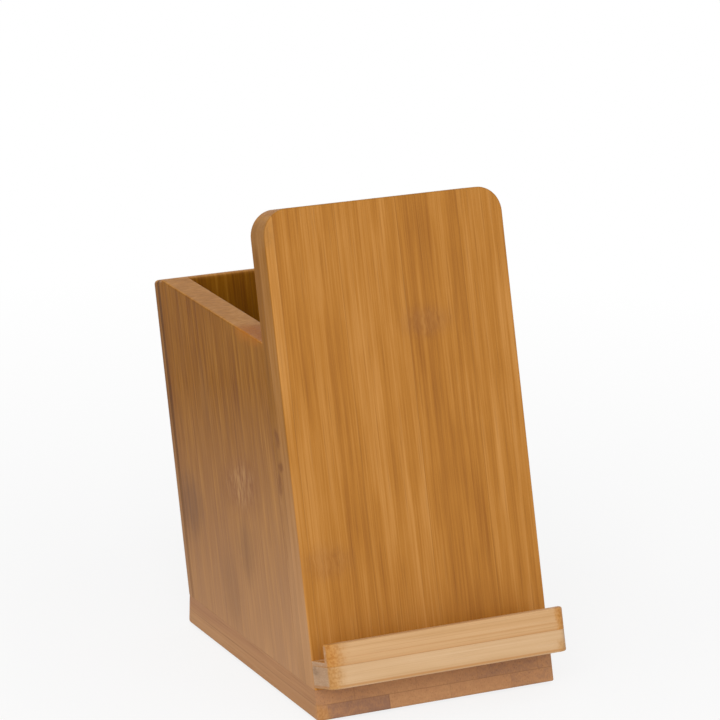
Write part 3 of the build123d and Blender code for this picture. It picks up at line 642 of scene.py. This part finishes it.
# Where the copies in a CAD node stand: the middle of each loose part, moved along the axis
def standingPoints(node, axis, lift):
    shape = weldedShape(node)
    left, points = dict.fromkeys(shape.verts), []  # no set, whose order changes with each run
    while left:
        island, border = [], [left.popitem()[0]]
        while border:
            corner = border.pop()
            island.append(corner)
            for link in corner.link_edges:
                other = link.other_vert(corner)
                if other in left:
                    del left[other]
                    border.append(other)
        spots = [corner.co for corner in island]
        middle = sum(spots, Vector()) / len(spots)
        levels = [spot.dot(axis) for spot in spots]
        rise = (min(levels) + max(levels)) / 2 + lift * mm - middle.dot(axis)
        points.append(middle + axis * rise)
    shape.free()
    points.sort(key=lambda point: tuple(round(share, 5) for share in point))
    mesh = bpy.data.meshes.new(node + "Points")
    mesh.from_pydata(points, [], [])
    return mesh


def turnTo(axis):  # the turn that brings Z onto the axis
    return list(axis.to_track_quat("Z", "Y").to_euler())


def moved(tree, shape, height):  # a shape, moved up by this much
    place = wire(tree, "CombineXYZ", {"Z": height})
    return wire(tree, "GeometryNodeTransform", {"Geometry": shape, "Translation": place})


def copiesOf(tree, given, shape):  # a shape on every point that the tree is given
    return wire(tree, "GeometryNodeInstanceOnPoints", {
        "Points": given["Geometry"], "Instance": shape,
        "Rotation": wire(tree, "FunctionNodeEulerToRotation", [given["Turn"]])})


# Screws: head, shank and point turned as cones, a rolled thread, and a cross cut into the head
turning = {"headSides": 40, "shankSides": 20, "threadSteps": 18, "threadSides": 4,
           "overlap": 0.1, "tipRadius": 0.05}  # the last two in mm
screwTree, given = freshTree("turnedScrew", {
    "Head Top Radius": "Float", "Head Under Radius": "Float", "Head Height": "Float",
    "Head Lift": "Float", "Core Radius": "Float", "Length": "Float", "Point": "Float",
    "Thread Turns": "Float", "Thread Height": "Float", "Recess Length": "Float",
    "Recess Width": "Float", "Recess Depth": "Float", "Turn": "Vector", "Finish": "Material"})
head = wire(screwTree, "GeometryNodeMeshCone", {
    "Vertices": turning["headSides"], "Radius Top": given["Head Top Radius"],
    "Radius Bottom": given["Head Under Radius"], "Depth": given["Head Height"]})
head = moved(screwTree, head, given["Head Lift"])
headTop = calc(screwTree, "ADD", given["Head Lift"], given["Head Height"])
deep = calc(screwTree, "MULTIPLY", given["Recess Depth"], 2.0)
for arm in (("Recess Length", "Recess Width"), ("Recess Width", "Recess Length")):
    size = wire(screwTree, "CombineXYZ", [given[arm[0]], given[arm[1]], deep])
    bar = moved(screwTree, wire(screwTree, "GeometryNodeMeshCube", {"Size": size}), headTop)
    head = wire(screwTree, "GeometryNodeMeshBoolean", {"Mesh 1": head, "Mesh 2": bar},
                operation="DIFFERENCE", solver="EXACT")
shankFoot = calc(screwTree, "SUBTRACT", given["Point"], given["Length"])
shankLong = calc(screwTree, "SUBTRACT", given["Head Lift"], shankFoot)
shank = wire(screwTree, "GeometryNodeMeshCone", {
    "Vertices": turning["shankSides"], "Radius Top": given["Core Radius"],
    "Radius Bottom": given["Core Radius"],
    "Depth": calc(screwTree, "ADD", shankLong, turning["overlap"] * mm)})
shank = moved(screwTree, shank, shankFoot)
point = wire(screwTree, "GeometryNodeMeshCone", {
    "Vertices": turning["shankSides"], "Radius Top": given["Core Radius"],
    "Radius Bottom": turning["tipRadius"] * mm, "Depth": given["Point"]})
point = moved(screwTree, point, calc(screwTree, "MULTIPLY", given["Length"], -1.0))
helix = wire(screwTree, "GeometryNodeCurveSpiral", {
    "Resolution": turning["threadSteps"], "Rotations": given["Thread Turns"],
    "Start Radius": given["Core Radius"], "End Radius": given["Core Radius"],
    "Height": shankLong})
ridge = wire(screwTree, "GeometryNodeCurvePrimitiveCircle", {
    "Resolution": turning["threadSides"], "Radius": given["Thread Height"]})
thread = wire(screwTree, "GeometryNodeCurveToMesh", {
    "Curve": helix, "Profile Curve": ridge, "Fill Caps": True})
thread = moved(screwTree, thread, shankFoot)
joined = wire(screwTree, "GeometryNodeJoinGeometry").node
for part in (thread, point, shank, head):
    screwTree.links.new(part, joined.inputs[0])
closeTree(screwTree, copiesOf(screwTree, given, joined.outputs[0]), given["Finish"])

woodScrew = {"Head Top Radius": 2.2, "Head Under Radius": 1.1, "Head Height": 1.1,
             "Head Lift": -1.1, "Core Radius": 0.82, "Length": 6, "Point": 1.6,
             "Thread Height": 0.28, "Recess Length": 2.42, "Recess Width": 0.7,
             "Recess Depth": 0.62}  # mm
boardScrew = {"Head Top Radius": 1.22, "Head Under Radius": 1.5, "Head Height": 0.9,
              "Head Lift": 0, "Core Radius": 0.62, "Length": 2.4, "Point": 0.6,
              "Thread Height": 0.18, "Recess Length": 1.65, "Recess Width": 0.48,
              "Recess Depth": 0.42}
# Each row: its sizes, which way its heads point, how far the heads lie from the middle of the
# solid along that way in mm, and the turns of its thread
screwRows = {
    "coil_cover_screws": (woodScrew, -outAxis, 3, 5.5),
    "base_cover_screws": (woodScrew, -upAxis, 3, 5.5),
    "board_screws": (boardScrew, upAxis, 0.75, 4.0),
}
for node, (sizes, axis, lift, turns) in screwRows.items():
    values = {label: size * mm for label, size in sizes.items()}
    values.update({"Thread Turns": turns, "Turn": turnTo(axis),
                   "Finish": finishes["zincPlatedSteel"]})
    piece = grow(node + "_turned", standingPoints(node, axis, lift), screwTree, values)
    standFor(piece, node)
print("screws turned:", len(screwRows), "rows")

# Dowels: a fluted rod with pressed ends, from this share of the length off the middle
pressing = {"rings": 25, "from": 0.455}
dowelTree, given = freshTree("flutedDowel", {
    "Radius": "Float", "Flute Radius": "Float", "Flutes": "Int", "Length": "Float",
    "End Scale": "Float", "Turn": "Vector", "Finish": "Material"})
half = calc(dowelTree, "MULTIPLY", given["Length"], 0.5)
rod = wire(dowelTree, "GeometryNodeCurvePrimitiveLine", {
    "Start": wire(dowelTree, "CombineXYZ", {"Z": calc(dowelTree, "MULTIPLY", half, -1.0)}),
    "End": wire(dowelTree, "CombineXYZ", {"Z": half})})
rod = wire(dowelTree, "GeometryNodeResampleCurve", {"Curve": rod, "Count": pressing["rings"]})
factor = wire(dowelTree, "GeometryNodeSplineParameter", out="Factor")
fromMiddle = calc(dowelTree, "ABSOLUTE", calc(dowelTree, "SUBTRACT", factor, 0.5))
scale = spread(dowelTree, fromMiddle, pressing["from"], 0.5, 1, given["End Scale"])
star = wire(dowelTree, "GeometryNodeCurveStar", {
    "Points": given["Flutes"], "Inner Radius": given["Flute Radius"],
    "Outer Radius": given["Radius"]})
pin = wire(dowelTree, "GeometryNodeCurveToMesh", {
    "Curve": rod, "Profile Curve": star, "Scale": scale, "Fill Caps": True})
closeTree(dowelTree, copiesOf(dowelTree, given, pin), given["Finish"])

dowel = {"Radius": 2, "Flute Radius": 1.84, "Length": 11.5}  # mm
dowelRows = {"panel_base_dowels": upAxis, "side_base_dowels": upAxis, "back_base_dowels": upAxis,
             "panel_side_dowels": -outAxis, "back_side_dowels": -outAxis,
             "ledge_dowels": outAxis}
for node, axis in dowelRows.items():
    values = {label: size * mm for label, size in dowel.items()}
    values.update({"Flutes": 18, "End Scale": 0.84, "Turn": turnTo(axis),
                   "Finish": finishes["turnedBeech"]})
    piece = grow(node + "_fluted", standingPoints(node, axis, 0), dowelTree, values)
    standFor(piece, node)
print("dowels fluted:", len(dowelRows), "rows")

# Coil: fine enamelled strands twisted into one bundle, wound as a flat spiral
coil = {"up": 76, "depth": 3.05, "inner": 10, "turns": 9, "pitch": 1.25, "endRadius": 4,
        "pointsPerHalf": 40, "gap": 0.01, "outerStrands": 6, "strandSides": 6,
        "strand": 0.135, "lay": 0.265, "twist": 12}  # lengths in mm
arcs = [((0, coil["up"] - coil["inner"] + coil["endRadius"]), coil["endRadius"], 180, 90)]
for number in range(2 * coil["turns"]):
    radius = coil["inner"] + number * coil["pitch"] / 2
    arcs.append(((0, coil["up"] - coil["pitch"] / 2), radius, 90, 180) if number % 2
                else ((0, coil["up"]), radius, -90, 180))
outer = coil["inner"] + coil["turns"] * coil["pitch"]
arcs.append(((0, coil["up"] - outer - coil["endRadius"]), coil["endRadius"], 90, -90))
windingPoints = []
for (x, up), radius, first, sweep in arcs:
    steps = coil["pointsPerHalf"] * abs(sweep) // 180
    for step in range(steps + 1):
        angle = math.radians(first + sweep * step / steps)
        point = (heel + acrossAxis * (x + radius * math.cos(angle)) * mm
                 + leanAxis * (up + radius * math.sin(angle)) * mm
                 - outAxis * coil["depth"] * mm)
        if not windingPoints or (point - windingPoints[-1]).length > coil["gap"] * mm:
            windingPoints.append(point)
winding = bpy.data.curves.new("coilWinding", "CURVE")
winding.dimensions = "3D"
spline = winding.splines.new("POLY")
spline.points.add(len(windingPoints) - 1)
for place, point in zip(spline.points, windingPoints):
    place.co = (*point, 1)

strandTree, given = freshTree("twistedStrands", {
    "Strand Radius": "Float", "Lay Radius": "Float", "Twist Length": "Float",
    "Finish": "Material"})
along = wire(strandTree, "GeometryNodeSplineParameter", out="Length")
turns = calc(strandTree, "DIVIDE", along, given["Twist Length"])
tilt = calc(strandTree, "MULTIPLY", turns, 2 * math.pi)
path = wire(strandTree, "GeometryNodeSetCurveTilt", {"Curve": given["Geometry"], "Tilt": tilt})
ring = wire(strandTree, "GeometryNodeMeshCircle", {
    "Vertices": coil["outerStrands"], "Radius": given["Lay Radius"]})
strand = wire(strandTree, "GeometryNodeCurvePrimitiveCircle", {
    "Resolution": coil["strandSides"], "Radius": given["Strand Radius"]})
strands = wire(strandTree, "GeometryNodeInstanceOnPoints", {"Points": ring, "Instance": strand})
together = wire(strandTree, "GeometryNodeJoinGeometry").node
for part in (strands, strand):
    strandTree.links.new(part, together.inputs[0])
profile = wire(strandTree, "GeometryNodeRealizeInstances", {"Geometry": together.outputs[0]})
bundle = wire(strandTree, "GeometryNodeCurveToMesh", {
    "Curve": path, "Profile Curve": profile, "Fill Caps": True})
closeTree(strandTree, bundle, given["Finish"])
piece = grow("charging_coil_wound", winding, strandTree, {
    "Strand Radius": coil["strand"] * mm, "Lay Radius": coil["lay"] * mm,
    "Twist Length": coil["twist"] * mm, "Finish": finishes["enamelledCopper"]}, 75)
standFor(piece, "charging_coil")
print("coil wound:", len(windingPoints), "points")

# Feet: soft pads with a rounded rim and rings pressed into the sole
low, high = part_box("feet")
foot = {"radius": 5, "height": (high.z - low.z) / mm, "round": 0.35, "roundSteps": 4,
        "rings": (1.4, 2.6, 3.8), "ringDepth": 0.16, "ringWidth": 0.3, "steps": 48}  # in mm
profile = [(0, 0)]
for ring in foot["rings"]:
    profile += [(ring - foot["ringWidth"], 0), (ring - foot["ringWidth"] / 3, foot["ringDepth"]),
                (ring + foot["ringWidth"] / 3, foot["ringDepth"]), (ring + foot["ringWidth"], 0)]
for step in range(foot["roundSteps"] + 1):
    angle = math.radians(90 * step / foot["roundSteps"])
    profile.append((foot["radius"] - foot["round"] * (1 - math.sin(angle)),
                    foot["round"] * (1 - math.cos(angle))))
profile += [(foot["radius"], foot["height"]), (0, foot["height"])]
shape = bmesh.new()
corners = [shape.verts.new((radius * mm, 0, (height - foot["height"] / 2) * mm))
           for radius, height in profile]
outline = [shape.edges.new(pair) for pair in zip(corners, corners[1:])]
bmesh.ops.spin(shape, geom=corners + outline, cent=(0, 0, 0), axis=(0, 0, 1),
               angle=2 * math.pi, steps=foot["steps"], use_merge=True)
bmesh.ops.remove_doubles(shape, verts=shape.verts, dist=weld)
bmesh.ops.recalc_face_normals(shape, faces=shape.faces)
footMesh = bpy.data.meshes.new("footPad")
shape.to_mesh(footMesh)
shape.free()
footPad = added("footPad", footMesh)
footTree, given = freshTree("feetOnPoints", {"Pad": "Object", "Finish": "Material"})
pad = wire(footTree, "GeometryNodeObjectInfo", {"Object": given["Pad"]}, "Geometry")
copies = wire(footTree, "GeometryNodeInstanceOnPoints", {
    "Points": given["Geometry"], "Instance": pad})
closeTree(footTree, copies, given["Finish"])
piece = grow("feet_pressed", standingPoints("feet", upAxis, 0), footTree,
             {"Pad": footPad, "Finish": finishes["siliconeRubber"]})
bpy.data.objects.remove(footPad)
standFor(piece, "feet")
print("feet pressed")


# Studio

studio = {
    "worldLevel": 0.62,
    "floorHalf": 6,            # m
    "floorWhite": "#ededed",
    "whiteNear": 0.82,         # how much of the floor is plain white for the camera, here
    "whiteFar": 1,             # and from the second of these distances on
    "whiteFrom": (0.1, 0.4),   # m
    # each lamp: where it stands, its size and its power
    "lamps": {
        "keyLamp": {"place": (-0.75, -1.05, 0.95), "size": 0.9, "power": 8.5},
        "lowLamp": {"place": (-1.2, -0.25, 0.22), "size": 0.7, "power": 2.5},
        "frontLamp": {"place": (0.45, -1.3, 0.55), "size": 0.9, "power": 2.6},
    },
    "lampTarget": (0, 0, 0.07),
}


# Camera, glossy and transmission rays see plain white; the rest get the light of the studio
def whiteShare(tree, amount):
    rays = wire(tree, "LightPath").node.outputs
    seen = calc(tree, "MAXIMUM", rays["Is Camera Ray"], rays["Is Glossy Ray"])
    seen = calc(tree, "MAXIMUM", seen, rays["Is Transmission Ray"])
    return calc(tree, "MULTIPLY", seen, amount)


world = bpy.data.worlds.new("studioWhite")
bpy.context.scene.world = world
world.use_nodes = True
tree = world.node_tree
background = next(n for n in tree.nodes if n.type == "BACKGROUND")
background.inputs["Color"].default_value = (1, 1, 1, 1)
tree.links.new(spread(tree, whiteShare(tree, 1), 0, 1, studio["worldLevel"], 1),
               background.inputs["Strength"])

half = studio["floorHalf"]
floorMesh = bpy.data.meshes.new("studioFloor")
floorMesh.from_pydata([(-half, -half, 0), (half, -half, 0), (half, half, 0), (-half, half, 0)],
                      [], [(0, 1, 2, 3)])
floor = added("studioFloor", floorMesh)
floorPaint, tree, shader = freshMaterial("floorPaint", {
    "Base Color": linear(studio["floorWhite"]), "Roughness": 0.9, "Specular IOR Level": 0.1})
white = wire(tree, "Emission", {"Color": (1, 1, 1, 1), "Strength": 1})
away = measure(tree, "LENGTH", wire(tree, "TexCoord", out="Object"))
away = spread(tree, away, *studio["whiteFrom"], studio["whiteNear"], studio["whiteFar"])
surface = wire(tree, "MixShader", [whiteShare(tree, away), shader.outputs[0], white])
under = wire(tree, "NewGeometry", out="Backfacing")  # seen from below, the floor isn't there
surface = wire(tree, "MixShader", [under, surface, wire(tree, "BsdfTransparent")])
output = next(n for n in tree.nodes if n.type == "OUTPUT_MATERIAL")
tree.links.new(surface, output.inputs["Surface"])
floorMesh.materials.append(floorPaint)

for name, lamp in studio["lamps"].items():
    data = bpy.data.lights.new(name, "AREA")
    data.shape = "SQUARE"
    data.size = lamp["size"]
    data.energy = lamp["power"]
    place = Vector(lamp["place"])
    turn = (Vector(studio["lampTarget"]) - place).to_track_quat("-Z", "Y")
    lampObject = added(name, data)
    lampObject.matrix_world = Matrix.Translation(place) @ turn.to_matrix().to_4x4()


# Camera, as fitted to the outlines in the photograph: mm and degrees

view = {"place": (-582.901, -1103.759, 488.443), "azimuth": -27.851, "elevation": 17.641,
        "roll": 1.558, "lens": 215.66, "sensor": 36, "farEnd": 20}  # the last in m
azimuth, elevation, roll = (math.radians(view[k]) for k in ("azimuth", "elevation", "roll"))
back = Vector((math.sin(azimuth) * math.cos(elevation), -math.cos(azimuth) * math.cos(elevation),
               math.sin(elevation)))
level = (-back).cross(upAxis).normalized()
rise = level.cross(-back)
cameraX = math.cos(roll) * level + math.sin(roll) * rise
cameraY = math.cos(roll) * rise - math.sin(roll) * level
cameraTurn = Matrix((cameraX, cameraY, back)).transposed().to_4x4()
lensData = bpy.data.cameras.new("studioCamera")
lensData.lens = view["lens"]
lensData.sensor_width = view["sensor"]
lensData.clip_end = view["farEnd"]
camera = added("studioCamera", lensData)
camera.matrix_world = Matrix.Translation(Vector(view["place"]) * mm) @ cameraTurn
bpy.context.scene.camera = camera
bpy.context.scene.view_settings.view_transform = "Standard"
print("studio set")
